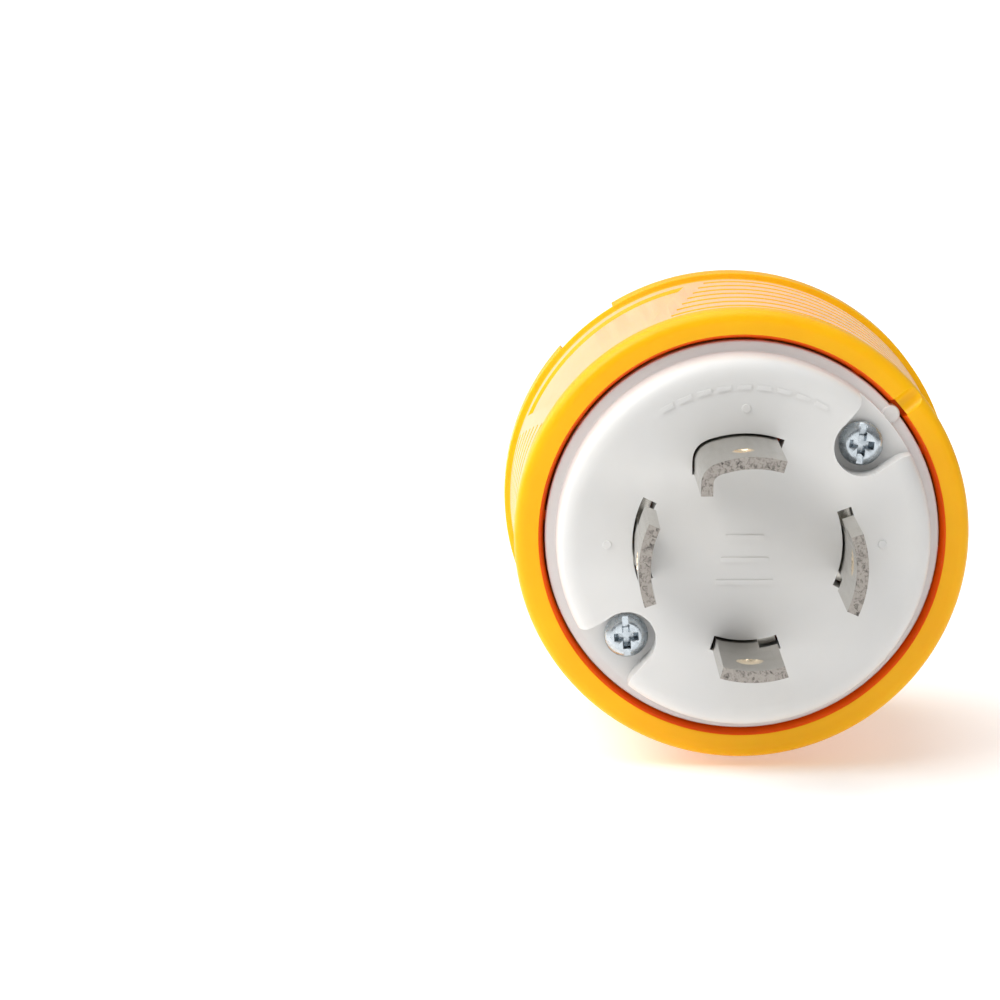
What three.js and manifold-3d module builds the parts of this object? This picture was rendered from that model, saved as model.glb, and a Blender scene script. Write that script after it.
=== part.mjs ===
// A locking power plug with four curved blades, a yellow sleeve and a cord clamp at its rear.
// Millimetres. The plug's axis is Y: the blades point to -Y, the cord leaves to +Y, +Z is up.
// The origin is the middle of the white face. Angles turn from +X towards +Z, seen from the blades.
import * as THREE from "three";
import { mergeVertices } from "three/addons/utils/BufferGeometryUtils.js";
import Module from "manifold-3d";

const wasm = await Module();
wasm.setup();

// Driving dimensions
const gap = 0.3;
const weld = 1e-4;
const roundSides = 60;
const mediumSides = 24;
const smallSides = 16;
const past = 5;

const clampAngle = 40;

const face = {
  radius: 29.5, edge: 1.4, thickness: 6.5, ledgeRadius: 31.1, ledgeFront: 7.5, rear: 10.6,
  cupRadius: 26.6, coreBossRadius: 4.5, coreBoreRadius: 1.9, coreBoreFront: 2.5,
};
const key = { bumpRadius: 1.35, bumpAt: 30.3, notchHalf: 1.8, notchRadius: 32.4 };
const well = { at: 24, radius: 4.6, floor: 5.2, flareHalf: 6.2, bossRadius: 4.8 };

const blade = { radius: 16.5, thick: 1.85, tip: -21, foot: 9, notchFront: -5, notchRear: 5 };
const slotPlay = 0.25;
const hook = { start: 16, outer: 8.1, end: 11.4, straight: 13.2, outerPull: 0.8, innerPull: 1.4 };
const terminal = {
  inner: 15.6, outer: 17.45, half: 4.7, front: 6.9, rear: 26.4, screwAt: 20, holeRadius: 2.2,
};
const plate = { inner: 22.5, outer: 24, half: 4.6, length: 9 };
const terminalScrew = {
  headRadius: 3.6, headInner: 24.3, headOuter: 26.3, shankRadius: 1.9, tip: 13.2, slotDepth: 1, slotHalf: 0.5,
};

const rearBody = {
  radius: 29.2, front: 10.9, rear: 30, channelFrom: 14.8, channelHalf: 5.6, tipBoreFrom: 8,
  tipBoreRadius: 2.3, screwHoleRadius: 2.5,
};
const tower = { radius: 5, rear: 45, wellRadius: 3.1, mouthRadius: 4, mouthFront: 41 };
const screwPoint = { share: 0.6, length: 1 };
const coreScrew = { tip: 3, headRadius: 2.7, headFront: 30.3, headRear: 32.5, shankRadius: 1.6, crown: 0.8 };
const faceScrew = {
  top: 2.8, headRadius: 3.5, seat: 4.9, shankRadius: 1.95, tip: 42, slot: 0.9, slotDepth: 1.1, headEdge: 0.6,
};
const insert = { outerRadius: 3.1, innerRadius: 2.2, front: 30.8, rear: 39 };

const sleeve = {
  bore: 31.6, rimFront: 6.5, rimRadius: 36.2, rimRear: 11, waistRadius: 35.95, waistRear: 43.6,
  shoulderRadius: 36.9, collarRadius: 37.7, rear: 49, wallFront: 46, lipWidth: 0.5, lipDepth: 0.7,
  rimRoundWidth: 1.8, rimRoundDepth: 2.2, step: 0.6, rearEdgeWidth: 0.5, rearEdgeDepth: 0.7,
};
const rib = { count: 12, innerRadius: 29.9, half: 0.8, front: 10.9 };
const insertBoss = { radius: 4.8, webHalf: 2.5, front: 30.3, boreRear: 39.3, tipRear: 43 };
const notch = { half: 5.6, innerRadius: 34, front: 44 };

const strap = {
  half: 7.3, kinkRadius: 33, kinkAt: 56.8, flatRadius: 26.5, rear: 64.4, controlRadius: 31.4, inset: 0.4,
};
const cordHoleRadius = 18.1;

const clamp = {
  front: 49.3, flat: 7.6, shift: 3.6, radius: 37.7, kinkRadius: 33.6, kinkAt: 57, controlRadius: 33,
  flatRadius: 28.6, rear: 65, recessRadius: 19.1, recessFloor: 64, recessShift: 3.3,
};
const jaw = { half: 15.4, end: 1.15, front: 54, corner: 2, overlap: 2, eyeRadius: 11.4, eyeShift: 2 };
const clampCore = { half: 13, from: 12.5, to: 24, rear: 58.5 };
const ear = { from: 17, to: 30.2, bottom: 18.6, rear: 57 };
const clampScrew = {
  at: 23, level: 53.1, seat: 15.5, headRadius: 2.6, headHeight: 2.2, shankRadius: 1.7, tip: -23.5,
  boreRadius: 2, pocketRadius: 2.9, slotDepth: 0.9, slotHalf: 0.45,
};
const nut = { radius: 3.46, pocketRadius: 3.81, pocketFloor: 13.5, height: 2.8, sides: 6 };

// The four blades: the angle each one stands at, how far it reaches along its circle on each side
// of that angle, the same for its slot, and how deep its locking notches are at each end.
const blades = [
  { name: "x", angle: 180, from: -7, to: 5.55, slotFrom: -7.3, slotTo: 5.85, notchFrom: 3.2, notchTo: 0 },
  { name: "y", angle: 0, from: -6.9, to: 5.45, slotFrom: -7.2, slotTo: 5.75, notchFrom: 2, notchTo: 2.5 },
  { name: "w", angle: 270, from: -4.75, to: 5.3, slotFrom: -5.05, slotTo: 5.6, notchFrom: 0, notchTo: 3 },
  { name: "g", angle: 90, from: -4.7, hooked: true, slotFrom: -5.8, notchFrom: 0, notchTo: 0 },
];

// Materials
const finish = (color, roughness, metalness = 0) =>
  new THREE.MeshStandardMaterial({ color, roughness, metalness });
const yellowNylon = finish(0xf8b80c, 0.42);
const whiteNylon = finish(0xdcdbd7, 0.45);
const amber = finish(0x7a2408, 0.15);
const nickel = finish(0xc9c7c2, 0.28, 1);
const zinc = finish(0xb9bdc0, 0.35, 1);
const brass = finish(0xc9a050, 0.35, 1);
const greenSteel = finish(0x2f8a4a, 0.4, 1);
const darkSteel = finish(0x2a2826, 0.4, 1);

const radians = (angle) => (angle * Math.PI) / 180;

// A closed geometry as a solid, turned about the plug's axis by an angle.
function solid(geometry, angle = 0) {
  geometry.deleteAttribute("normal");
  geometry.deleteAttribute("uv");
  geometry.rotateY(-radians(angle));
  const merged = mergeVertices(geometry, weld);
  const corners = merged.index.array;
  const kept = [];
  for (let i = 0; i < corners.length; i += 3) {
    const [a, b, c] = [corners[i], corners[i + 1], corners[i + 2]];
    if (a !== b && b !== c && c !== a) kept.push(a, b, c);
  }
  const build = (triVerts) => new wasm.Manifold(new wasm.Mesh({
    numProp: 3,
    vertProperties: new Float32Array(merged.attributes.position.array),
    triVerts: new Uint32Array(triVerts),
  }));
  const made = build(kept);
  return made.volume() < 0 ? build(kept.reverse()) : made;
}

// Revolved about the plug's axis: each point is a radius and a place along the axis.
function turned(profile, sides = roundSides, angle = 0) {
  return solid(new THREE.LatheGeometry(profile.map(([r, y]) => new THREE.Vector2(r, y)), sides), angle);
}

function block([x0, x1], [y0, y1], [z0, z1], angle = 0) {
  const geometry = new THREE.BoxGeometry(x1 - x0, y1 - y0, z1 - z0);
  return solid(geometry.translate((x0 + x1) / 2, (y0 + y1) / 2, (z0 + z1) / 2), angle);
}

// Round bars along Y, Z and X.
function barY(radius, [y0, y1], x = 0, z = 0, sides = smallSides, angle = 0) {
  const geometry = new THREE.CylinderGeometry(radius, radius, y1 - y0, sides);
  return solid(geometry.translate(x, (y0 + y1) / 2, z), angle);
}
function barZ(radius, [z0, z1], x, y, sides = smallSides) {
  const geometry = new THREE.CylinderGeometry(radius, radius, z1 - z0, sides);
  return solid(geometry.rotateX(Math.PI / 2).translate(x, y, (z0 + z1) / 2));
}
function barX(radius, [x0, x1], y, sides = smallSides, angle = 0) {
  const geometry = new THREE.CylinderGeometry(radius, radius, x1 - x0, sides);
  return solid(geometry.rotateZ(Math.PI / 2).translate((x0 + x1) / 2, y, 0), angle);
}

// An outline in the X and Z directions, extruded along the axis.
function prism(outline, [y0, y1], angle = 0, curveSegments = 8) {
  const geometry = new THREE.ExtrudeGeometry(outline, { depth: y1 - y0, bevelEnabled: false, curveSegments });
  return solid(geometry.rotateX(Math.PI / 2).translate(0, y1, 0), angle);
}

// Points along a rounded corner from one profile point to another, the ends left out.
function rounding(from, control, to, steps = 5) {
  const curve = new THREE.QuadraticBezierCurve(
    new THREE.Vector2(...from), new THREE.Vector2(...control), new THREE.Vector2(...to),
  );
  return curve.getPoints(steps).slice(1, -1).map((p) => [p.x, p.y]);
}

function named(name, body, material) {
  const { vertProperties, triVerts } = body.getMesh();
  const geometry = new THREE.BufferGeometry();
  geometry.setAttribute("position", new THREE.BufferAttribute(vertProperties, 3));
  geometry.setIndex(new THREE.BufferAttribute(triVerts, 1));
  geometry.computeVertexNormals();
  const mesh = new THREE.Mesh(geometry, material);
  mesh.name = name;
  return mesh;
}

// A curved strip between two radii, from one distance along the mean circle to another.
function strip(from, to, grow = 0) {
  const inner = blade.radius - blade.thick / 2 - grow;
  const outer = blade.radius + blade.thick / 2 + grow;
  const outline = new THREE.Shape();
  outline.absarc(0, 0, outer, from / blade.radius, to / blade.radius, false);
  outline.absarc(0, 0, inner, to / blade.radius, from / blade.radius, true);
  return outline;
}

// The same strip with its far end bent towards the plug's axis.
function hookedStrip(from, grow = 0) {
  const inner = blade.radius - blade.thick / 2 - grow;
  const outer = blade.radius + blade.thick / 2 + grow;
  const bend = radians(hook.start);
  const legOuter = hook.outer + grow;
  const legInner = hook.outer - blade.thick - grow;
  const outline = new THREE.Shape();
  outline.absarc(0, 0, outer, from / blade.radius, bend, false);
  outline.quadraticCurveTo(outer * Math.cos(bend) - hook.outerPull, legOuter, hook.straight, legOuter);
  outline.lineTo(hook.end - grow, legOuter);
  outline.lineTo(hook.end - grow, legInner);
  outline.lineTo(hook.straight, legInner);
  const [innerX, innerZ] = [inner * Math.cos(bend), inner * Math.sin(bend)];
  outline.quadraticCurveTo(hook.straight + hook.innerPull, legInner, innerX, innerZ);
  outline.absarc(0, 0, inner, bend, from / blade.radius, true);
  return outline;
}

const outlineOf = (b, grow = 0) => (b.hooked ? hookedStrip(b.from, grow) : strip(b.from, b.to, grow));
const slotOutline = (b) =>
  b.hooked ? hookedStrip(b.slotFrom, slotPlay) : strip(b.slotFrom, b.slotTo, slotPlay);

function bladeBody(b) {
  let body = prism(outlineOf(b), [blade.tip, blade.foot]);
  const cut = [blade.notchFront, blade.notchRear];
  if (b.notchFrom) body = body.subtract(prism(strip(b.from - 1, b.from + b.notchFrom, 1), cut));
  if (b.notchTo) body = body.subtract(prism(strip(b.to - b.notchTo, b.to + 1, 1), cut));
  const flat = block(
    [terminal.inner, terminal.outer], [terminal.front, terminal.rear], [-terminal.half, terminal.half],
  );
  const hole = barX(terminal.holeRadius, [terminal.inner - 1, terminal.outer + 1], terminal.screwAt);
  return body.add(flat).subtract(hole);
}

function frontFace() {
  let body = turned([
    [0, 0], [face.radius - face.edge, 0],
    ...rounding([face.radius - face.edge, 0], [face.radius, 0], [face.radius, face.edge]),
    [face.radius, face.edge], [face.radius, face.ledgeFront], [face.ledgeRadius, face.ledgeFront],
    [face.ledgeRadius, face.rear], [face.cupRadius, face.rear], [face.cupRadius, face.thickness],
    [0, face.thickness],
  ]);
  body = body.add(barY(key.bumpRadius, [face.ledgeFront, face.rear], key.bumpAt, 0, smallSides, clampAngle));
  const coreBoss = [face.thickness - 1, face.rear];
  body = body.add(barY(face.coreBossRadius, coreBoss)).subtract(
    barY(face.coreBoreRadius, [face.coreBoreFront, face.rear + 1]),
  );
  for (const side of [0, 180]) {
    const angle = clampAngle + side;
    const mouth = new THREE.Shape();
    mouth.moveTo(well.at, -well.radius);
    mouth.lineTo(face.radius + 1, -well.flareHalf);
    mouth.lineTo(face.radius + 1, well.flareHalf);
    mouth.lineTo(well.at, well.radius);
    const boss = barY(well.bossRadius, [face.thickness - 1, face.rear], well.at, 0, mediumSides, angle);
    body = body.add(boss.intersect(barY(face.cupRadius + 1, [0, face.rear])));
    body = body.subtract(barY(well.radius, [-1, well.floor], well.at, 0, mediumSides, angle));
    body = body.subtract(prism(mouth, [-1, well.floor], angle));
    body = body.subtract(
      barY(faceScrew.shankRadius + gap, [well.floor - 1, face.rear + 1], well.at, 0, smallSides, angle),
    );
  }
  for (const b of blades) {
    body = body.subtract(prism(slotOutline(b), [-1, face.thickness + 1], b.angle));
  }
  return body;
}

function rearBodyShape() {
  const { radius, front, rear } = rearBody;
  let body = barY(radius, [front, rear], 0, 0, roundSides);
  body = body.add(barY(tower.radius, [rear - 1, tower.rear], 0, 0, mediumSides));
  body = body.subtract(barY(face.coreBoreRadius, [front - 1, rear + 1]));
  body = body.subtract(barY(tower.wellRadius, [rear, tower.rear + 1], 0, 0, mediumSides));
  body = body.subtract(barY(tower.mouthRadius, [tower.mouthFront, tower.rear + 1], 0, 0, mediumSides));
  for (const { angle } of blades) {
    const wide = [-rearBody.channelHalf, rearBody.channelHalf];
    body = body.subtract(block([rearBody.channelFrom, radius + past], [front - 1, rear + 1], wide, angle));
    const tipBore = [rearBody.tipBoreFrom, rearBody.channelFrom + 1];
    body = body.subtract(barX(rearBody.tipBoreRadius, tipBore, terminal.screwAt, smallSides, angle));
  }
  for (const side of [0, 180]) {
    const through = [front - 1, rear + 1];
    body = body.subtract(barY(rearBody.screwHoleRadius, through, well.at, 0, smallSides, clampAngle + side));
  }
  return body;
}

function coreScrewShape() {
  const s = coreScrew;
  return turned([
    [0, s.tip], [s.shankRadius * screwPoint.share, s.tip], [s.shankRadius, s.tip + screwPoint.length],
    [s.shankRadius, s.headFront], [s.headRadius, s.headFront], [s.headRadius, s.headRear - s.crown],
    ...rounding([s.headRadius, s.headRear - s.crown], [s.headRadius, s.headRear], [0, s.headRear], 4),
    [0, s.headRear],
  ], smallSides);
}

function faceScrewShape(side) {
  const s = faceScrew;
  const body = turned([
    [0, s.top], ...rounding([0, s.top], [s.headRadius, s.top], [s.headRadius, s.seat - s.headEdge], 4),
    [s.headRadius, s.seat - s.headEdge], [s.headRadius, s.seat], [s.shankRadius, s.seat],
    [s.shankRadius, s.tip - screwPoint.length], [s.shankRadius * screwPoint.share, s.tip], [0, s.tip],
  ], smallSides);
  const cut = block([-past, past], [s.top - 1, s.top + s.slotDepth], [-s.slot / 2, s.slot / 2], clampAngle);
  return body.subtract(cut).translate([side * well.at, 0, 0]);
}

function insertShape(side) {
  const ring = barY(insert.outerRadius, [insert.front, insert.rear], side * well.at);
  return ring.subtract(barY(insert.innerRadius, [insert.front - 1, insert.rear + 1], side * well.at));
}

function terminalScrewShape() {
  const s = terminalScrew;
  const head = barX(s.headRadius, [s.headInner, s.headOuter], terminal.screwAt);
  const shank = barX(s.shankRadius, [s.tip, s.headInner + 1], terminal.screwAt);
  const slot = block(
    [s.headOuter - s.slotDepth, s.headOuter + 1], [terminal.screwAt - past, terminal.screwAt + past],
    [-s.slotHalf, s.slotHalf],
  );
  return head.add(shank).subtract(slot);
}

function pressurePlateShape() {
  const halfLength = plate.length / 2;
  const long = [terminal.screwAt - halfLength, terminal.screwAt + halfLength];
  const body = block([plate.inner, plate.outer], long, [-plate.half, plate.half]);
  return body.subtract(barX(terminal.holeRadius, [plate.inner - 1, plate.outer + 1], terminal.screwAt));
}

// The strap that crosses the rear end, and is drilled for the clamp screws.
function strapShape() {
  const s = strap;
  const base = sleeve.rear - 2;
  const dome = turned([
    [0, base], [sleeve.collarRadius - s.inset, base], [sleeve.collarRadius - s.inset, sleeve.rear],
    [s.kinkRadius, s.kinkAt],
    ...rounding([s.kinkRadius, s.kinkAt], [s.controlRadius, s.rear], [s.flatRadius, s.rear]),
    [s.flatRadius, s.rear], [0, s.rear],
  ]);
  const wide = [-sleeve.collarRadius, sleeve.collarRadius];
  let body = dome.intersect(block(wide, [base, s.rear + 1], [-s.half, s.half]));
  for (const side of [-1, 1]) {
    const bore = [-s.half - 1, s.half + 1];
    body = body.subtract(barZ(clampScrew.boreRadius, bore, side * clampScrew.at, clampScrew.level));
  }
  return body;
}

function housingShape() {
  const s = sleeve;
  const roundFrom = [s.rimRadius - s.rimRoundWidth, s.rimFront];
  const roundTo = [s.rimRadius, s.rimFront + s.rimRoundDepth];
  let body = turned([
    [0, s.wallFront], [s.bore, s.wallFront], [s.bore, s.rimFront + s.lipDepth],
    [s.bore + s.lipWidth, s.rimFront], roundFrom,
    ...rounding(roundFrom, [s.rimRadius, s.rimFront], roundTo, 4), roundTo,
    [s.rimRadius, s.rimRear], [s.waistRadius, s.rimRear + s.step],
    [s.shoulderRadius, s.waistRear], [s.collarRadius, s.waistRear + s.step],
    [s.collarRadius, s.rear - s.rearEdgeDepth], [s.collarRadius - s.rearEdgeWidth, s.rear], [0, s.rear],
  ]);
  body = body.add(strapShape());
  for (let i = 0; i < rib.count; i += 1) {
    const angle = ((i + 0.5) * 360) / rib.count;
    const long = [rib.front, s.wallFront + 1];
    body = body.add(block([rib.innerRadius, s.bore + 1], long, [-rib.half, rib.half], angle));
  }
  const b = insertBoss;
  for (const side of [-1, 1]) {
    const at = side * well.at;
    const long = [b.front, s.wallFront + 1];
    const web = [Math.min(at, side * (s.bore + 1)), Math.max(at, side * (s.bore + 1))];
    body = body.add(barY(b.radius, long, at, 0, mediumSides));
    body = body.add(block(web, long, [-b.webHalf, b.webHalf]));
    body = body.subtract(barY(insert.outerRadius + gap, [b.front - 1, b.boreRear], at));
    body = body.subtract(barY(insert.innerRadius + gap, [b.front - 1, b.tipRear], at));
    const deep = [side * notch.innerRadius, side * (s.collarRadius + past)].sort((m, n) => m - n);
    body = body.subtract(block([-notch.half, notch.half], [notch.front, s.rear + 1], deep));
  }
  body = body.subtract(barY(cordHoleRadius, [s.wallFront - 1, strap.rear + 1], 0, 0, roundSides));
  const keyLong = [s.rimFront - 1, rib.front];
  return body.subtract(block([s.bore - 1, key.notchRadius], keyLong, [-key.notchHalf, key.notchHalf]));
}

// One half of the cord clamp: side 1 is the upper half, side -1 the lower half.
function clampHalf(side) {
  const c = clamp;
  const between = (a, b) => [side * a, side * b].sort((m, n) => m - n);
  const dome = turned([
    [0, c.front], [c.radius, c.front], [c.kinkRadius, c.kinkAt],
    ...rounding([c.kinkRadius, c.kinkAt], [c.controlRadius, c.rear], [c.flatRadius, c.rear]),
    [c.flatRadius, c.rear], [0, c.rear],
  ]).translate([0, 0, -side * c.shift]);
  const wide = [-c.radius - 1, c.radius + 1];
  let body = dome.intersect(block(wide, [c.front - 1, c.rear + 1], between(c.flat, c.radius)));

  const jawShape = new THREE.Shape();
  const top = c.flat + jaw.overlap;
  jawShape.moveTo(-jaw.half, side * top);
  jawShape.lineTo(-jaw.half, side * (jaw.end + jaw.corner));
  jawShape.quadraticCurveTo(-jaw.half, side * jaw.end, -jaw.half + jaw.corner, side * jaw.end);
  jawShape.lineTo(jaw.half - jaw.corner, side * jaw.end);
  jawShape.quadraticCurveTo(jaw.half, side * jaw.end, jaw.half, side * (jaw.end + jaw.corner));
  jawShape.lineTo(jaw.half, side * top);
  body = body.add(prism(jawShape, [jaw.front, c.recessFloor]));
  const recess = barY(c.recessRadius, [c.recessFloor, c.rear + 1], 0, -side * c.recessShift, roundSides);
  const eye = barY(jaw.eyeRadius, [c.front - 1, c.rear + 1], 0, -side * jaw.eyeShift, roundSides);
  const core = block(
    [-clampCore.half, clampCore.half], [c.front - 1, clampCore.rear], between(clampCore.from, clampCore.to),
  );
  body = body.subtract(recess).subtract(eye).subtract(core);

  for (const end of [-1, 1]) {
    const [x, y] = [end * clampScrew.at, clampScrew.level];
    if (side < 0) {
      const reach = [end * ear.from, end * ear.to].sort((m, n) => m - n);
      body = body.add(block(reach, [c.front, ear.rear], between(c.flat, ear.bottom)));
    }
    body = body.subtract(barZ(clampScrew.boreRadius, between(c.flat - 1, clampScrew.seat + 1), x, y));
    const outward = between(side > 0 ? clampScrew.seat : nut.pocketFloor, c.radius);
    const [pocketRadius, sides] =
      side > 0 ? [clampScrew.pocketRadius, smallSides] : [nut.pocketRadius, nut.sides];
    body = body.subtract(barZ(pocketRadius, outward, x, y, sides));
  }
  return body;
}

function clampScrewShape(end) {
  const s = clampScrew;
  const [x, y, under] = [end * s.at, s.level, s.seat + gap];
  const shank = barZ(s.shankRadius, [s.tip, under + 1], x, y);
  const deep = [under + s.headHeight - s.slotDepth, under + past];
  const slot = block([x - past, x + past], [y - s.slotHalf, y + s.slotHalf], deep);
  return shank.add(barZ(s.headRadius, [under, under + s.headHeight], x, y)).subtract(slot);
}

function clampNutShape(end) {
  const [x, y] = [end * clampScrew.at, clampScrew.level];
  const far = -nut.pocketFloor - gap;
  const hexagon = barZ(nut.radius, [far - nut.height, far], x, y, nut.sides);
  return hexagon.subtract(barZ(clampScrew.boreRadius, [far - nut.height - 1, far + 1], x, y));
}

const plug = new THREE.Group();

// The face, the rear body and what stands in them
plug.add(named("front_face", frontFace(), whiteNylon));
plug.add(named("rear_body", rearBodyShape(), amber));
plug.add(named("core_screw", coreScrewShape(), darkSteel));
for (const b of blades) {
  const seat = new THREE.Group();
  seat.rotation.y = -radians(b.angle);
  const screwFinish = { w: zinc, g: greenSteel }[b.name] ?? brass;
  seat.add(named(`blade_${b.name}`, bladeBody(b), nickel));
  seat.add(named(`pressure_plate_${b.name}`, pressurePlateShape(), brass));
  seat.add(named(`terminal_screw_${b.name}`, terminalScrewShape(), screwFinish));
  plug.add(seat);
}

// The sleeve and its clamp: in this group X runs along the strap, and Z is the way the clamp moves
const cordEnd = new THREE.Group();
cordEnd.rotation.y = -radians(clampAngle);
cordEnd.add(named("housing", housingShape(), yellowNylon));
cordEnd.add(named("clamp_upper", clampHalf(1), yellowNylon));
cordEnd.add(named("clamp_lower", clampHalf(-1), yellowNylon));
[1, -1].forEach((side, i) => {
  cordEnd.add(named(`face_screw_${i + 1}`, faceScrewShape(side), zinc));
  cordEnd.add(named(`thread_insert_${i + 1}`, insertShape(side), brass));
  cordEnd.add(named(`clamp_screw_${i + 1}`, clampScrewShape(side), zinc));
  cordEnd.add(named(`clamp_nut_${i + 1}`, clampNutShape(side), zinc));
});
plug.add(cordEnd);

export default plug;
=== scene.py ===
import bpy
import math
from mathutils import Matrix, Vector


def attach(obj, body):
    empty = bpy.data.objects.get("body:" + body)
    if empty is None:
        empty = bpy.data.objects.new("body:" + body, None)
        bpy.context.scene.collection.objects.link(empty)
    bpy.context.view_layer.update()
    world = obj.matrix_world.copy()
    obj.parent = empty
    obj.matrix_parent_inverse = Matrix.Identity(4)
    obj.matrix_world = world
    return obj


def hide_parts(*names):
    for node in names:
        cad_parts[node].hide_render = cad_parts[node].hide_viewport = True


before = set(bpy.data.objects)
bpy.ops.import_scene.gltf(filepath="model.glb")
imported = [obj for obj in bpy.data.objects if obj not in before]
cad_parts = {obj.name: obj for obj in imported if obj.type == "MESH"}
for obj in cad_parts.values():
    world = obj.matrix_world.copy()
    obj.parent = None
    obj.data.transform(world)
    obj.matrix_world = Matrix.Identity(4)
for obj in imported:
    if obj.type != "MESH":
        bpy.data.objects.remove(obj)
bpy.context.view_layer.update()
clampAngle = 40  # degrees that the clamp and the sleeve stand turned from the blades
clampTurn = math.radians(clampAngle)

# Places along and away from the axis that several pieces share
layout = {"faceScrewAt": 24.0, "clampScrewAt": 23.0, "clampScrewLevel": 53.1, "terminalAt": 20.0}
print("frame loaded")


# Tools. Pieces are made in millimetres and brought to metres when they are finished.

def only(*pieces):
    bpy.ops.object.select_all(action="DESELECT")
    for piece in pieces:
        piece.select_set(True)
    bpy.context.view_layer.objects.active = pieces[0]


def cleanMesh():
    bpy.ops.mesh.select_all(action="SELECT")
    bpy.ops.mesh.remove_doubles(threshold=0.002)
    bpy.ops.mesh.normals_make_consistent(inside=False)
    bpy.ops.object.mode_set(mode="OBJECT")


def settle(piece):
    only(piece)
    bpy.ops.object.transform_apply(location=True, rotation=True, scale=True)
    return piece


def drawLine(name, points):
    bpy.ops.object.select_all(action="DESELECT")
    bpy.ops.mesh.primitive_plane_add(size=1)
    piece = bpy.context.object
    piece.name = name
    bpy.ops.object.mode_set(mode="EDIT")
    bpy.ops.mesh.select_all(action="SELECT")
    bpy.ops.mesh.merge(type="CENTER")
    bpy.ops.transform.translate(value=points[0])
    for before, after in zip(points, points[1:]):
        step = Vector(after) - Vector(before)
        bpy.ops.mesh.extrude_region_move(TRANSFORM_OT_translate={"value": step})
    bpy.ops.mesh.select_all(action="SELECT")
    return piece


def roundCorners(points, steps=4, closed=False):
    made = []
    for i, (x, y, *rest) in enumerate(points):
        atEnd = not closed and i in (0, len(points) - 1)
        if not rest or atEnd:
            made.append((x, y))
            continue
        here = Vector((x, y))
        back = Vector(points[i - 1][:2]) - here
        on = Vector(points[(i + 1) % len(points)][:2]) - here
        reach = rest[0] / math.tan(back.angle(on) / 2)
        reach = min(reach, 0.48 * back.length, 0.48 * on.length)
        start, end = here + back.normalized() * reach, here + on.normalized() * reach
        for k in range(steps + 1):
            t = k / steps
            made.append(tuple(start * (1 - t) ** 2 + here * 2 * t * (1 - t) + end * t * t))
    return made


# A profile of radius and place along the axis, spun once around the Y axis
def lathe(name, profile, steps=64):
    piece = drawLine(name, [(r, y, 0) for r, y in profile])
    bpy.ops.mesh.spin(steps=steps, angle=2 * math.pi, center=(0, 0, 0), axis=(0, 1, 0))
    cleanMesh()
    return piece


# The same, spun only between two angles and closed at both ends
def sector(name, corners, fromAngle, toAngle, steps):
    a = math.radians(fromAngle)
    piece = drawLine(name, [(r * math.cos(a), y, r * math.sin(a)) for r, y in corners])
    bpy.ops.mesh.edge_face_add()
    turn = math.radians(toAngle - fromAngle)
    bpy.ops.mesh.spin(steps=steps, angle=turn, center=(0, 0, 0), axis=(0, 1, 0))
    cleanMesh()
    return piece


# A flat outline in X and Z, pulled out along Y
def extrudeOutline(name, outline, y0, y1):
    piece = drawLine(name, [(x, y0, z) for x, z in outline])
    bpy.ops.mesh.edge_face_add()
    bpy.ops.mesh.extrude_region_move(TRANSFORM_OT_translate={"value": (0, y1 - y0, 0)})
    cleanMesh()
    return piece


def block(name, x, y, z):
    low, high = Vector((min(x), min(y), min(z))), Vector((max(x), max(y), max(z)))
    bpy.ops.object.select_all(action="DESELECT")
    bpy.ops.mesh.primitive_cube_add(size=1, location=(low + high) / 2)
    piece = bpy.context.object
    piece.name = name
    piece.scale = high - low
    return settle(piece)


def rod(name, radius, start, end, sides=48, endRadius=None):
    start, end = Vector(start), Vector(end)
    far = radius if endRadius is None else endRadius
    bpy.ops.object.select_all(action="DESELECT")
    bpy.ops.mesh.primitive_cone_add(
        vertices=sides, radius1=radius, radius2=far, depth=(end - start).length,
        location=(start + end) / 2, rotation=(end - start).to_track_quat("Z", "Y").to_euler(),
    )
    piece = bpy.context.object
    piece.name = name
    return settle(piece)


# Turns a piece about the plug's axis, from +X towards +Z
def turned(piece, angle):
    only(piece)
    piece.rotation_euler[1] = -math.radians(angle)
    return settle(piece)


def boolean(body, tools, operation):
    tools = tools if isinstance(tools, list) else [tools]
    only(*tools)
    if len(tools) > 1:
        bpy.ops.object.join()
    tool = bpy.context.view_layer.objects.active
    only(body)
    modifier = body.modifiers.new("shape", "BOOLEAN")
    modifier.operation = operation
    modifier.solver = "EXACT"
    modifier.object = tool
    bpy.ops.object.modifier_apply(modifier="shape")
    bpy.data.objects.remove(tool)
    return body


def cut(body, tools):
    return boolean(body, tools, "DIFFERENCE")


def add(body, tools):
    return boolean(body, tools, "UNION")


def soften(piece, width, segments=2, limit=34):
    only(piece)
    modifier = piece.modifiers.new("edges", "BEVEL")
    modifier.limit_method = "ANGLE"
    modifier.angle_limit = math.radians(limit)
    modifier.width = width
    modifier.segments = segments
    bpy.ops.object.modifier_apply(modifier="edges")
    return piece


# Joins the slivers that a cut leaves in a flat face, so that it shades flat
def evenFaces(piece):
    only(piece)
    bpy.ops.object.mode_set(mode="EDIT")
    bpy.ops.mesh.select_all(action="SELECT")
    bpy.ops.mesh.dissolve_limited(angle_limit=math.radians(0.3))
    bpy.ops.object.mode_set(mode="OBJECT")
    return piece


def finish(piece, body, node, materials, turn=0.0, smooth=42):
    only(piece)
    piece.rotation_euler[1] = -turn
    piece.scale = (0.001, 0.001, 0.001)
    settle(piece)
    bpy.ops.object.shade_smooth_by_angle(angle=math.radians(smooth))
    modifier = piece.modifiers.new("normals", "WEIGHTED_NORMAL")
    modifier.keep_sharp = True
    bpy.ops.object.modifier_apply(modifier="normals")
    for material in materials:
        piece.data.materials.append(material)
    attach(piece, body)
    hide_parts(node)
    return piece


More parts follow.
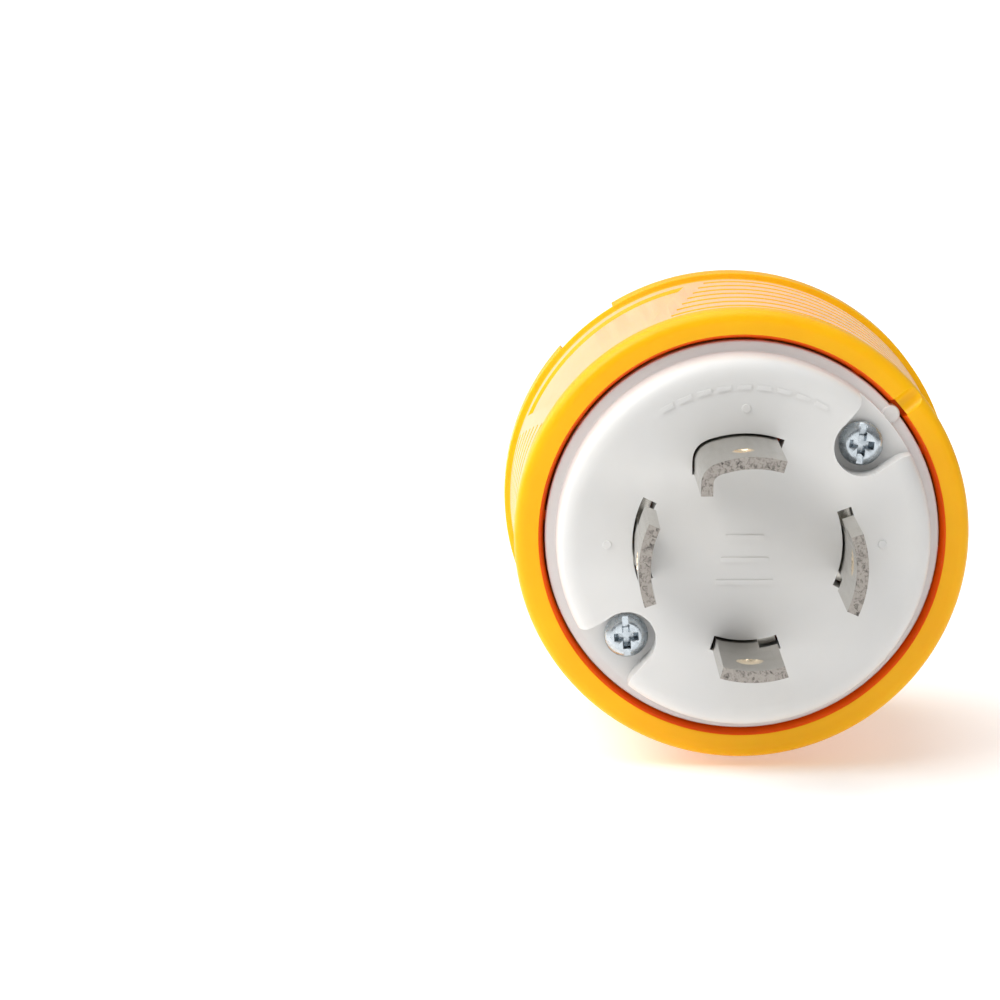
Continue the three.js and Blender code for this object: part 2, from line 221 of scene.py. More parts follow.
# Finishes

def newGroup(name, inputs, outputs):
    group = bpy.data.node_groups.new(name, "ShaderNodeTree")
    for label, kind, value in inputs:
        socket = group.interface.new_socket(label, in_out="INPUT", socket_type=kind)
        socket.default_value = value
    for label, kind in outputs:
        group.interface.new_socket(label, in_out="OUTPUT", socket_type=kind)
    return group, group.nodes.new("NodeGroupInput"), group.nodes.new("NodeGroupOutput")


def place(tree, kind, **values):
    node = tree.nodes.new(kind)
    for key, value in values.items():
        if hasattr(node, key):
            setattr(node, key, value)
        else:
            node.inputs[key.replace("_", " ")].default_value = value
    return node


# Moulded plastic: slow flow clouding, fine grain and a few soft rub marks
def makeMouldedGroup():
    group, given, out = newGroup(
        "mouldedSurface",
        [
            ("Colour", "NodeSocketColor", (1, 1, 1, 1)), ("Shade", "NodeSocketColor", (1, 1, 1, 1)),
            ("Cloud Scale", "NodeSocketFloat", 60.0), ("Grain Scale", "NodeSocketFloat", 5000.0),
            ("Smoothest", "NodeSocketFloat", 0.3), ("Roughest", "NodeSocketFloat", 0.5),
        ],
        [("Colour", "NodeSocketColor"), ("Roughness", "NodeSocketFloat"), ("Height", "NodeSocketFloat")],
    )
    link = group.links.new
    coords = place(group, "ShaderNodeTexCoord")
    cloud = place(group, "ShaderNodeTexNoise", Detail=3.0, Roughness=0.55, Distortion=0.4)
    grain = place(group, "ShaderNodeTexNoise", Detail=2.0, Roughness=0.6)
    rub = place(group, "ShaderNodeTexNoise", Scale=420.0, Detail=4.0, Roughness=0.7)
    stretch = place(group, "ShaderNodeMapping")
    stretch.inputs["Scale"].default_value = (1.0, 0.25, 1.0)
    link(coords.outputs["Object"], cloud.inputs["Vector"])
    link(coords.outputs["Object"], grain.inputs["Vector"])
    link(coords.outputs["Object"], stretch.inputs["Vector"])
    link(stretch.outputs["Vector"], rub.inputs["Vector"])
    link(given.outputs["Cloud Scale"], cloud.inputs["Scale"])
    link(given.outputs["Grain Scale"], grain.inputs["Scale"])
    tint = place(group, "ShaderNodeMix", data_type="RGBA")
    edge = place(group, "ShaderNodeMapRange")
    edge.inputs["From Min"].default_value = 0.35
    edge.inputs["From Max"].default_value = 0.68
    link(cloud.outputs["Fac"], edge.inputs["Value"])
    link(edge.outputs["Result"], tint.inputs["Factor"])
    link(given.outputs["Colour"], tint.inputs["A"])
    link(given.outputs["Shade"], tint.inputs["B"])
    rough = place(group, "ShaderNodeMapRange")
    rough.inputs["From Min"].default_value = 0.3
    rough.inputs["From Max"].default_value = 0.7
    link(rub.outputs["Fac"], rough.inputs["Value"])
    link(given.outputs["Smoothest"], rough.inputs["To Min"])
    link(given.outputs["Roughest"], rough.inputs["To Max"])
    height = place(group, "ShaderNodeMath", operation="MULTIPLY_ADD")
    height.inputs[1].default_value = 0.7
    link(grain.outputs["Fac"], height.inputs[0])
    link(rub.outputs["Fac"], height.inputs[2])
    link(tint.outputs["Result"], out.inputs["Colour"])
    link(rough.outputs["Result"], out.inputs["Roughness"])
    link(height.outputs["Value"], out.inputs["Height"])
    return group


# Plated or bare metal: drawing lines along one direction, blotches and small dark pits
def makeMetalGroup():
    group, given, out = newGroup(
        "workedMetal",
        [
            ("Colour", "NodeSocketColor", (1, 1, 1, 1)), ("Stain", "NodeSocketColor", (1, 1, 1, 1)),
            ("Lines", "NodeSocketVector", (1.0, 1.0, 1.0)), ("Stain Amount", "NodeSocketFloat", 0.4),
            ("Stain Scale", "NodeSocketFloat", 260.0), ("Smoothest", "NodeSocketFloat", 0.15),
            ("Roughest", "NodeSocketFloat", 0.4),
        ],
        [("Colour", "NodeSocketColor"), ("Roughness", "NodeSocketFloat"), ("Height", "NodeSocketFloat")],
    )
    link = group.links.new
    coords = place(group, "ShaderNodeTexCoord")
    stretch = place(group, "ShaderNodeMapping")
    link(coords.outputs["Object"], stretch.inputs["Vector"])
    link(given.outputs["Lines"], stretch.inputs["Scale"])
    lines = place(group, "ShaderNodeTexNoise", Scale=900.0, Detail=5.0, Roughness=0.65)
    blotch = place(group, "ShaderNodeTexNoise", Detail=4.0, Roughness=0.6, Distortion=0.8)
    pits = place(group, "ShaderNodeTexVoronoi", Scale=900.0)
    link(stretch.outputs["Vector"], lines.inputs["Vector"])
    link(coords.outputs["Object"], blotch.inputs["Vector"])
    link(given.outputs["Stain Scale"], blotch.inputs["Scale"])
    link(coords.outputs["Object"], pits.inputs["Vector"])
    spots = place(group, "ShaderNodeMapRange")
    spots.inputs["From Min"].default_value = 0.48
    spots.inputs["From Max"].default_value = 0.75
    link(blotch.outputs["Fac"], spots.inputs["Value"])
    amount = place(group, "ShaderNodeMath", operation="MULTIPLY")
    link(spots.outputs["Result"], amount.inputs[0])
    link(given.outputs["Stain Amount"], amount.inputs[1])
    tint = place(group, "ShaderNodeMix", data_type="RGBA")
    link(amount.outputs["Value"], tint.inputs["Factor"])
    link(given.outputs["Colour"], tint.inputs["A"])
    link(given.outputs["Stain"], tint.inputs["B"])
    rough = place(group, "ShaderNodeMapRange")
    rough.inputs["From Min"].default_value = 0.32
    rough.inputs["From Max"].default_value = 0.7
    link(lines.outputs["Fac"], rough.inputs["Value"])
    link(given.outputs["Smoothest"], rough.inputs["To Min"])
    link(given.outputs["Roughest"], rough.inputs["To Max"])
    height = place(group, "ShaderNodeMath", operation="MULTIPLY_ADD")
    height.inputs[1].default_value = 0.12
    link(pits.outputs["Distance"], height.inputs[0])
    link(lines.outputs["Fac"], height.inputs[2])
    link(tint.outputs["Result"], out.inputs["Colour"])
    link(rough.outputs["Result"], out.inputs["Roughness"])
    link(height.outputs["Value"], out.inputs["Height"])
    return group


def makeMaterial(name, group, groupValues, shaderValues, bumpStrength, bumpDistance):
    material = bpy.data.materials.new(name)
    material.use_nodes = True
    tree = material.node_tree
    shader = tree.nodes["Principled BSDF"]
    for key, value in shaderValues.items():
        shader.inputs[key].default_value = value
    surface = place(tree, "ShaderNodeGroup", node_tree=group)
    for key, value in groupValues.items():
        surface.inputs[key].default_value = value
    bump = place(tree, "ShaderNodeBump")
    bump.inputs["Strength"].default_value = bumpStrength
    bump.inputs["Distance"].default_value = bumpDistance
    tree.links.new(surface.outputs["Colour"], shader.inputs["Base Color"])
    tree.links.new(surface.outputs["Roughness"], shader.inputs["Roughness"])
    tree.links.new(surface.outputs["Height"], bump.inputs["Height"])
    tree.links.new(bump.outputs["Normal"], shader.inputs["Normal"])
    return material


moulded = makeMouldedGroup()
worked = makeMetalGroup()
evenGrain = (1.0, 1.0, 1.0)

yellowNylon = makeMaterial(
    "yellowNylon", moulded,
    {"Colour": (0.98, 0.50, 0.0015, 1), "Shade": (0.94, 0.45, 0.001, 1), "Cloud Scale": 45.0,
     "Smoothest": 0.30, "Roughest": 0.42},
    {"Subsurface Weight": 0.3, "Subsurface Radius": (1.0, 0.42, 0.02), "Subsurface Scale": 0.0025,
     "IOR": 1.45, "Specular IOR Level": 0.28},
    0.12, 0.00008,
)
# Rougher matte yellow; its pale peach colour is painted sheen standing in for grazing reflection
yellowMattePaintedSheen = makeMaterial(
    "yellowMattePaintedSheen", moulded,
    {"Colour": (0.92, 0.51, 0.25, 1), "Shade": (0.90, 0.48, 0.21, 1), "Cloud Scale": 45.0,
     "Grain Scale": 7000.0, "Smoothest": 0.50, "Roughest": 0.62},
    {"Subsurface Weight": 0.2, "Subsurface Radius": (1.0, 0.5, 0.1), "Subsurface Scale": 0.0025,
     "IOR": 1.5, "Specular IOR Level": 0.6, "Sheen Weight": 0.25, "Sheen Roughness": 0.5},
    0.25, 0.00008,
)
# Deep orange with a faint glow: painted shade and painted light bounced in the gap at the front lip
paintedGapShadeGlow = makeMaterial(
    "paintedGapShadeGlow", moulded,
    {"Colour": (0.80, 0.095, 0.001, 1), "Shade": (0.66, 0.06, 0.001, 1), "Cloud Scale": 60.0,
     "Smoothest": 0.35, "Roughest": 0.5},
    {"Subsurface Weight": 0.3, "Subsurface Radius": (1.0, 0.2, 0.01), "Subsurface Scale": 0.003,
     "IOR": 1.45, "Specular IOR Level": 0.2, "Emission Color": (0.9, 0.10, 0.0, 1),
     "Emission Strength": 0.14},
    0.12, 0.00008,
)
whiteNylon = makeMaterial(
    "whiteNylon", moulded,
    {"Colour": (0.74, 0.735, 0.72, 1), "Shade": (0.69, 0.69, 0.685, 1), "Cloud Scale": 40.0,
     "Smoothest": 0.36, "Roughest": 0.48},
    {"Subsurface Weight": 0.25, "Subsurface Radius": (1.0, 0.9, 0.8), "Subsurface Scale": 0.0015,
     "IOR": 1.45, "Specular IOR Level": 0.4},
    0.12, 0.00006,
)
amberResin = makeMaterial(
    "amberResin", moulded,
    {"Colour": (0.50, 0.085, 0.006, 1), "Shade": (0.30, 0.035, 0.003, 1), "Cloud Scale": 90.0,
     "Smoothest": 0.06, "Roughest": 0.16},
    {"Transmission Weight": 0.75, "IOR": 1.56},
    0.05, 0.00005,
)
nickelPlate = makeMaterial(
    "nickelPlate", worked,
    {"Colour": (0.52, 0.50, 0.46, 1), "Stain": (0.34, 0.31, 0.26, 1), "Lines": (1.0, 0.08, 1.0),
     "Stain Amount": 0.4, "Smoothest": 0.10, "Roughest": 0.24},
    {"Metallic": 1.0}, 0.10, 0.00003,
)
# Bright warm nickel for the dimples: a painted highlight where light catches the pressed hollows
nickelPaintedHighlight = makeMaterial(
    "nickelPaintedHighlight", worked,
    {"Colour": (0.95, 0.82, 0.62, 1), "Stain": (0.60, 0.42, 0.24, 1), "Lines": evenGrain,
     "Stain Amount": 0.4, "Smoothest": 0.12, "Roughest": 0.3},
    {"Metallic": 1.0}, 0.15, 0.00004,
)
shearedMetal = makeMaterial(
    "shearedMetal", worked,
    {"Colour": (0.40, 0.37, 0.34, 1), "Stain": (0.02, 0.018, 0.018, 1), "Lines": (4.0, 4.0, 4.0),
     "Stain Amount": 1.0, "Stain Scale": 1500.0, "Smoothest": 0.25, "Roughest": 0.6},
    {"Metallic": 1.0}, 1.0, 0.00025,
)
zincPlate = makeMaterial(
    "zincPlate", worked,
    {"Colour": (0.52, 0.57, 0.61, 1), "Stain": (0.16, 0.19, 0.22, 1), "Lines": evenGrain,
     "Stain Amount": 0.7, "Stain Scale": 420.0, "Smoothest": 0.16, "Roughest": 0.36},
    {"Metallic": 1.0}, 0.22, 0.00005,
)
plainBrass = makeMaterial(
    "plainBrass", worked,
    {"Colour": (0.72, 0.50, 0.20, 1), "Stain": (0.42, 0.24, 0.09, 1), "Lines": (0.2, 1.0, 1.0),
     "Stain Amount": 0.5, "Smoothest": 0.20, "Roughest": 0.42},
    {"Metallic": 1.0}, 0.15, 0.00004,
)
greenZinc = makeMaterial(
    "greenZinc", worked,
    {"Colour": (0.05, 0.26, 0.09, 1), "Stain": (0.02, 0.12, 0.04, 1), "Lines": evenGrain,
     "Stain Amount": 0.5, "Smoothest": 0.22, "Roughest": 0.4},
    {"Metallic": 0.9}, 0.15, 0.00004,
)
blackOxide = makeMaterial(
    "blackOxide", worked,
    {"Colour": (0.05, 0.045, 0.04, 1), "Stain": (0.02, 0.018, 0.016, 1), "Lines": evenGrain,
     "Stain Amount": 0.5, "Smoothest": 0.2, "Roughest": 0.4},
    {"Metallic": 0.9}, 0.15, 0.00004,
)
print("finishes ready")


# The yellow sleeve

sleeve = {
    "bore": 31.6, "front": 6.5, "rimRadius": 36.2, "rimRear": 10.9, "waistFront": 35.75,
    "waistRear": 36.65, "collarFront": 43.9, "collarRadius": 37.65, "rear": 49.0, "wallFront": 46.0,
    "cordHole": 18.1, "ribCount": 12, "grooveCount": 7, "grooveStart": 15.4, "groovePitch": 4.3,
    "grooveDepth": 0.55, "grooveHalf": 0.62, "grooveReach": 68, "grooveStep": 1.8,
    "panelDepth": 0.55, "panelFront": 12.6, "panelRear": 41.0, "panelNarrow": 15.0, "panelWide": 27.5,
    "strapHalf": 7.3, "lip": 32.15, "lipRear": 8.8, "ribInner": 29.9, "ribFront": 10.9, "ribHalf": 0.8,
    "bossRadius": 4.8, "bossFront": 30.3, "webHalf": 2.5, "insertBore": 3.4, "insertRear": 39.3,
    "tipBore": 2.5, "tipRear": 43.0, "notchHalf": 5.6, "notchFront": 44.3, "notchInner": 34.0,
    "screwWay": 2.0, "keyHalf": 1.7, "keyInner": 30.5, "keyOuter": 32.4, "keyChannel": 1.9, "keyAt": 5.55,
    "edge": 0.14,
}
strapProfile = [
    (0, 47), (37.2, 47), (37.2, 49.3), (34.6, 53.4, 3), (33.4, 57.4, 3), (32.6, 61.2, 3),
    (29.6, 64.4, 2.6), (0, 64.4),
]


def waistRadius(y):
    share = (y - sleeve["rimRear"]) / (sleeve["collarFront"] - sleeve["rimRear"])
    return sleeve["waistFront"] + share * (sleeve["waistRear"] - sleeve["waistFront"])


def makeSleeve():
    s = sleeve
    piece = lathe("sleeve", roundCorners([
        (s["bore"], s["wallFront"]), (s["bore"], s["lipRear"], 0.5), (s["lip"], s["front"], 0.45),
        (s["rimRadius"], s["front"], 2.6), (s["rimRadius"], s["rimRear"], 0.5),
        (s["waistFront"], s["rimRear"] + 0.5, 0.5), (s["waistRear"], s["collarFront"], 0.4),
        (s["collarRadius"], s["collarFront"] + 0.4, 0.35), (s["collarRadius"] + 0.05, s["rear"], 0.6),
        (s["cordHole"] - 1, s["rear"]), (s["cordHole"] - 1, s["wallFront"]), (s["bore"], s["wallFront"]),
    ]), steps=180)

    strap = lathe("strap", roundCorners(strapProfile, steps=5), steps=180)
    only(strap)
    bpy.ops.object.mode_set(mode="EDIT")
    for side in (1, -1):
        bpy.ops.mesh.select_all(action="SELECT")
        edge = (0, 0, side * s["strapHalf"])
        bpy.ops.mesh.bisect(plane_co=edge, plane_no=(0, 0, side), use_fill=True, clear_outer=True)
    cleanMesh()
    add(piece, strap)

    ribs = []
    for i in range(s["ribCount"]):
        along = (s["ribFront"], s["wallFront"] + 1)
        rib = block("rib", (s["ribInner"], s["bore"] + 1), along, (-s["ribHalf"], s["ribHalf"]))
        ribs.append(turned(rib, (i + 0.5) * 360 / s["ribCount"]))
    add(piece, ribs)
    for side in (1, -1):
        x, front = side * layout["faceScrewAt"], s["bossFront"]
        boss = rod("boss", s["bossRadius"], (x, front, 0), (x, s["wallFront"] + 1, 0))
        across, along = (x, side * (s["bore"] + 1)), (front + 0.05, s["wallFront"] + 0.9)
        add(boss, block("web", across, along, (-s["webHalf"], s["webHalf"])))
        cut(boss, rod("bore", s["insertBore"], (x, front - 0.3, 0), (x, s["insertRear"], 0)))
        cut(boss, rod("tip", s["tipBore"], (x, s["insertRear"] - 1.3, 0), (x, s["tipRear"], 0), sides=32))
        add(piece, boss)

    grooves = []
    for i in range(s["grooveCount"]):
        y = s["grooveStart"] + i * s["groovePitch"]
        r = waistRadius(y)
        low, half = r - s["grooveDepth"], s["grooveHalf"]
        reach = s["grooveReach"] - i * s["grooveStep"]
        above, wide = r + 0.4, half * 1.6
        section = [(low, y - half / 2), (above, y - wide), (above, y + wide), (low, y + half / 2)]
        for middle in (0, 180):
            grooves.append(sector("groove", section, middle - reach, middle + reach, 66))
    cut(piece, grooves)

    panels = []
    for middle in (90, 270):
        y0, y1, deep = s["panelFront"], s["panelRear"], s["panelDepth"]
        section = [
            (waistRadius(y0) - 0.06, y0), (waistRadius(y0) + 3, y0 - 1), (waistRadius(y1) + 3, y1 + 3),
            (waistRadius(y1) - deep, y1 - 0.6), (waistRadius(y0 + 4) - deep, y0 + 4),
        ]
        panel = sector("panel", section, middle - s["panelWide"] - 2, middle + s["panelWide"] + 2, 30)
        only(panel)
        bpy.ops.object.mode_set(mode="EDIT")
        for side in (1, -1):
            narrow = math.radians(middle + side * s["panelNarrow"])
            wide = math.radians(middle + side * s["panelWide"])
            r0, r1 = waistRadius(y0), waistRadius(y1)
            a = Vector((r0 * math.cos(narrow), y0, r0 * math.sin(narrow)))
            b = Vector((r1 * math.cos(wide), y1, r1 * math.sin(wide)))
            out = Vector((math.cos(narrow), 0, math.sin(narrow)))
            normal = (b - a).cross(out).normalized()
            along = Vector((-math.sin(narrow), 0, math.cos(narrow))) * side
            if normal.dot(along) < 0:
                normal = -normal
            bpy.ops.mesh.select_all(action="SELECT")
            bpy.ops.mesh.bisect(plane_co=a, plane_no=normal, use_fill=True, clear_outer=True)
        cleanMesh()
        panels.append(panel)
    cut(piece, panels)

    notches = [rod("hole", s["cordHole"], (0, 44, 0), (0, 70, 0), sides=120)]
    for side in (1, -1):
        half, deep = s["notchHalf"], (side * s["notchInner"], side * 45)
        notches.append(block("notch", (-half, half), (s["notchFront"], 52), deep))
        x, y = side * layout["clampScrewAt"], layout["clampScrewLevel"]
        notches.append(rod("screwWay", s["screwWay"], (x, y, -9), (x, y, 9), sides=32))
    cut(piece, notches)
    keyDeep, keyWide = (s["keyInner"], s["keyOuter"]), (-s["keyHalf"], s["keyHalf"])
    cut(piece, block("keyway", keyDeep, (5, s["rimRear"]), keyWide))
    cut(piece, rod("keyChannel", s["keyChannel"], (31, s["keyAt"], 0), (39, s["keyAt"], 0), sides=48))
    soften(piece, s["edge"], segments=2)
    looks = [yellowNylon, yellowMattePaintedSheen, paintedGapShadeGlow]
    finish(piece, "housing", "housing", looks, turn=clampTurn)
    for side in piece.data.polygons:
        x, y, z = side.center * 1000
        r = math.hypot(x, z)
        outward = (side.normal.x * x + side.normal.z * z) / max(r, 0.01)
        onWaist = s["rimRear"] + 0.6 < y < s["collarFront"] - 0.2 and r > waistRadius(y) - 0.75
        # Outward waist faces: matte finish, with a pale colour that is painted sheen for grazing reflection
        if onWaist and outward > 0.97:
            side.material_index = 1
        # Front lip, bore edge and keyway walls: deep orange with a glow, painted shade and glow in the gap
        elif y < s["rimRear"] + 2 and r < s["lip"] + 0.25:
            side.material_index = 2
    return piece


makeSleeve()
print("sleeve made")


# The two halves of the cord clamp

clamp = {
    "front": 49.3, "flat": 7.6, "shift": 3.6, "rear": 65.0, "recess": 19.1, "recessFloor": 64.0,
    "recessShift": 3.3, "eye": 11.4, "eyeShift": 2.0, "toothCount": 102, "toothDepth": 0.42,
    "coreHalf": 13.0, "coreRear": 58.5, "coreFrom": 12.5, "coreTo": 24.0, "coreRound": 1.2,
    "jawHalf": 15.4, "jawEnd": 1.15, "jawFront": 54.0, "jawRound": 2.0, "earFrom": 17.0, "earTo": 30.2,
    "earRear": 57.0, "earDeep": 18.6, "earRound": 0.9, "screwBore": 2.0, "seat": 15.5, "nutFloor": 13.5,
    "headPocket": 2.95, "headPocketMouth": 3.6, "nutPocket": 3.81, "edge": 0.35,
}
arrow = {
    "tip": -12.5, "headEnd": -8.0, "tail": 9.0, "level": 56.2, "half": 0.45, "headHalf": 1.4, "raised": 0.4,
}


def toothedRod(radius, depth, count, y0, y1):
    piece = rod("teeth", radius, (0, y0, 0), (0, y1, 0), sides=count * 2)
    only(piece)
    bpy.ops.object.mode_set(mode="EDIT")
    bpy.ops.mesh.select_mode(type="VERT")
    bpy.ops.mesh.select_all(action="DESELECT")
    bpy.ops.object.mode_set(mode="OBJECT")
    for vertex in piece.data.vertices:
        around = math.atan2(vertex.co.z, vertex.co.x) / (math.pi / count)
        vertex.select = round(around) % 2 == 0
    bpy.ops.object.mode_set(mode="EDIT")
    share = (radius - depth) / radius
    bpy.ops.transform.resize(value=(share, 1, share), center_override=(0, (y0 + y1) / 2, 0))
    bpy.ops.mesh.select_all(action="DESELECT")
    bpy.ops.object.mode_set(mode="OBJECT")
    return piece


# The outer surface of the clamp, which the raised arrow follows a little further out
def clampShell(name, grow=0.0):
    c = clamp
    return lathe(name, roundCorners([
        (0, c["front"]), (37.7 + grow, c["front"], 0.5), (35.4 + grow, 53.6, 4), (34.2 + grow, 57.2, 4),
        (33.6 + grow, 61.2, 3), (30.2, c["rear"], 3.2), (0, c["rear"]),
    ], steps=6), steps=180)


# The turn arrow: a thin arc with its head towards -X
def makeArrow():
    half, head = arrow["half"], arrow["headHalf"]
    neck, tail, level = arrow["headEnd"], arrow["tail"], arrow["level"]
    outline = [
        (arrow["tip"], level), (neck, level - head), (neck, level - half), (tail, level - half),
        (tail, level + half), (neck, level + half), (neck, level + head),
    ]
    piece = drawLine("arrow", [(x, y, 20) for x, y in outline])
    bpy.ops.mesh.edge_face_add()
    bpy.ops.mesh.extrude_region_move(TRANSFORM_OT_translate={"value": (0, 0, 20)})
    cleanMesh()
    skin = clampShell("skin", arrow["raised"])
    skin.location.z = -clamp["shift"]
    return boolean(piece, settle(skin), "INTERSECT")


def makeClampHalf(name, node, side):
    c = clamp
    piece = clampShell(name)
    piece.location.z = -side * c["shift"]
    settle(piece)
    bpy.ops.object.mode_set(mode="EDIT")
    bpy.ops.mesh.select_all(action="SELECT")
    flat = (0, 0, side * c["flat"])
    bpy.ops.mesh.bisect(plane_co=flat, plane_no=(0, 0, -side), use_fill=True, clear_outer=True)
    cleanMesh()
    evenFaces(piece)

    across, level = (-c["coreHalf"], c["coreHalf"]), (side * c["coreFrom"], side * c["coreTo"])
    core = block("core", across, (c["front"] - 1, c["coreRear"]), level)
    cut(piece, soften(core, c["coreRound"], segments=3))
    half, end, top, bend = c["jawHalf"], c["jawEnd"], c["flat"] + 2, c["jawRound"]
    outline = roundCorners([(-half, top), (-half, end, bend), (half, end, bend), (half, top)], steps=6)
    jaw = extrudeOutline("jaw", [(x, side * z) for x, z in outline], c["jawFront"], c["recessFloor"])
    add(piece, jaw)
    if side < 0:  # only the lower half has the two ears beside its screw bosses
        for out in (1, -1):
            across, level = (out * c["earFrom"], out * c["earTo"]), (-c["flat"] - 0.05, -c["earDeep"])
            ear = block("ear", across, (c["front"] + 0.05, c["earRear"]), level)
            add(piece, soften(ear, c["earRound"], segments=3))

    recess = rod("recess", c["recess"], (0, c["recessFloor"], 0), (0, c["rear"] + 2, 0), sides=144)
    recess.location.z = -side * c["recessShift"]
    cut(piece, settle(recess))
    for out in (1, -1):
        x, y = out * layout["clampScrewAt"], layout["clampScrewLevel"]
        cut(piece, rod("bore", c["screwBore"], (x, y, side * 6), (x, y, side * 17), sides=32))
        if side > 0:
            seat, mouth = (x, y, c["seat"]), c["headPocketMouth"]
            pocket = rod("pocket", c["headPocket"], seat, (x, y, 40), sides=40, endRadius=mouth)
        else:
            pocket = rod("pocket", c["nutPocket"], (x, y, -c["nutFloor"]), (x, y, -40), sides=6)
        cut(piece, pocket)
    soften(piece, c["edge"], segments=3)
    # The teeth come after the edges are rounded, because they are finer than that rounding
    eye = toothedRod(c["eye"], c["toothDepth"], c["toothCount"], c["front"] - 2, c["rear"] + 2)
    eye.location.z = -side * c["eyeShift"]
    cut(piece, settle(eye))
    if side > 0:
        add(piece, makeArrow())
    evenFaces(piece)
    return finish(piece, node, node, [yellowNylon], turn=clampTurn)


makeClampHalf("clampUpper", "clamp_upper", 1)
makeClampHalf("clampLower", "clamp_lower", -1)
print("clamp made")


# The white face

face = {
    "radius": 29.5, "thickness": 6.5, "ledge": 31.3, "ledgeFront": 7.5, "rear": 10.6, "cup": 26.6,
    "edgeRound": 3.4, "wellRadius": 4.6, "wellFloor": 5.2, "mouthHalf": 5.35, "mouthBend": 28.4,
    "mouthRound": 3.2, "mouthEnd": 30.8, "mouthWide": 9.5, "bossRadius": 4.8, "bossFront": 5.9,
    "screwWay": 2.25, "coreBoss": 4.5, "coreBore": 1.9, "coreBoreFloor": 2.5, "lugRadius": 1.5,
    "lugFront": 30.4, "lugRear": 30.3, "lugRound": 0.4, "slotGap": 0.25, "soft": 0.8, "edge": 0.1,
}
marks = {
    "sunk": -0.2, "top": 0.3, "dashCount": 9, "dashInner": 24.6, "dashOuter": 25.3, "dashHalf": 1.1,
    "dashFrom": 62, "dashStep": 7.2, "dotAt": 21.6, "dotRadius": 0.8, "dotTop": 0.65,
    "bars": [(1.2, 6.0), (-2.4, 7.5), (-6.0, 9.0)], "barHalf": 0.35,
}
blade = {
    "radius": 16.5, "thick": 1.85, "tip": -21.0, "foot": 9.0, "notchFront": -5.2, "notchRear": 5.0,
    "dimpleAt": -14.5, "dimpleOff": 1.6, "dimpleBall": 3.4, "dimpleRise": 2.8, "terminalInner": 15.6,
    "terminalOuter": 17.45, "terminalFront": 6.9, "terminalRear": 26.4, "terminalHalf": 4.7,
    "terminalHole": 2.2, "edge": 0.16,
}
hook = {"start": 16.0, "outer": 8.1, "end": 11.4, "straight": 13.2}
# Lengths along each blade's own arc. The one whose arc has no end runs on into the hook.
bladePlan = [
    {"name": "x", "angle": 180, "from": -7.0, "to": 5.55, "slotFrom": -7.3, "slotTo": 5.85,
     "notchFrom": 3.2, "notchTo": 0},
    {"name": "y", "angle": 0, "from": -6.9, "to": 5.45, "slotFrom": -7.2, "slotTo": 5.75,
     "notchFrom": 2.0, "notchTo": 2.5},
    {"name": "w", "angle": 270, "from": -4.75, "to": 5.3, "slotFrom": -5.05, "slotTo": 5.6,
     "notchFrom": 0, "notchTo": 3.0},
    {"name": "g", "angle": 90, "from": -4.7, "to": None, "slotFrom": -5.8, "slotTo": None,
     "notchFrom": 0, "notchTo": 0},
]


def arcPoints(radius, start, end, steps):
    angles = [start + (end - start) * k / steps for k in range(steps + 1)]
    return [(radius * math.cos(a), radius * math.sin(a)) for a in angles]


def bladeFaces(grow=0.0):
    half = blade["thick"] / 2
    return blade["radius"] - half - grow, blade["radius"] + half + grow


def stripOutline(start, end, grow=0.0):
    inner, outer = bladeFaces(grow)
    a, b = start / blade["radius"], end / blade["radius"]
    return arcPoints(outer, a, b, 16) + arcPoints(inner, b, a, 16)


def hookOutline(start, grow=0.0):
    inner, outer = bladeFaces(grow)
    a, bend = start / blade["radius"], math.radians(hook["start"])
    legOuter, legInner = hook["outer"] + grow, hook["outer"] - blade["thick"] - grow

    def curve(p, q, r):
        made = []
        for k in range(1, 8):
            t = k / 8
            made.append(tuple(Vector(p) * (1 - t) ** 2 + Vector(q) * 2 * t * (1 - t) + Vector(r) * t * t))
        return made

    outerEnd = (outer * math.cos(bend), outer * math.sin(bend))
    innerEnd = (inner * math.cos(bend), inner * math.sin(bend))
    straight, end = hook["straight"], hook["end"] - grow
    return (
        arcPoints(outer, a, bend, 12)
        + curve(outerEnd, (outerEnd[0] - 0.8, legOuter), (straight, legOuter))
        + [(straight, legOuter), (end, legOuter), (end, legInner), (straight, legInner)]
        + curve((straight, legInner), (straight + 1.4, legInner), innerEnd)
        + arcPoints(inner, bend, a, 12)
    )


def bladeOutline(b, grow=0.0, slot=False):
    start, end = (b["slotFrom"], b["slotTo"]) if slot else (b["from"], b["to"])
    return hookOutline(start, grow) if end is None else stripOutline(start, end, grow)


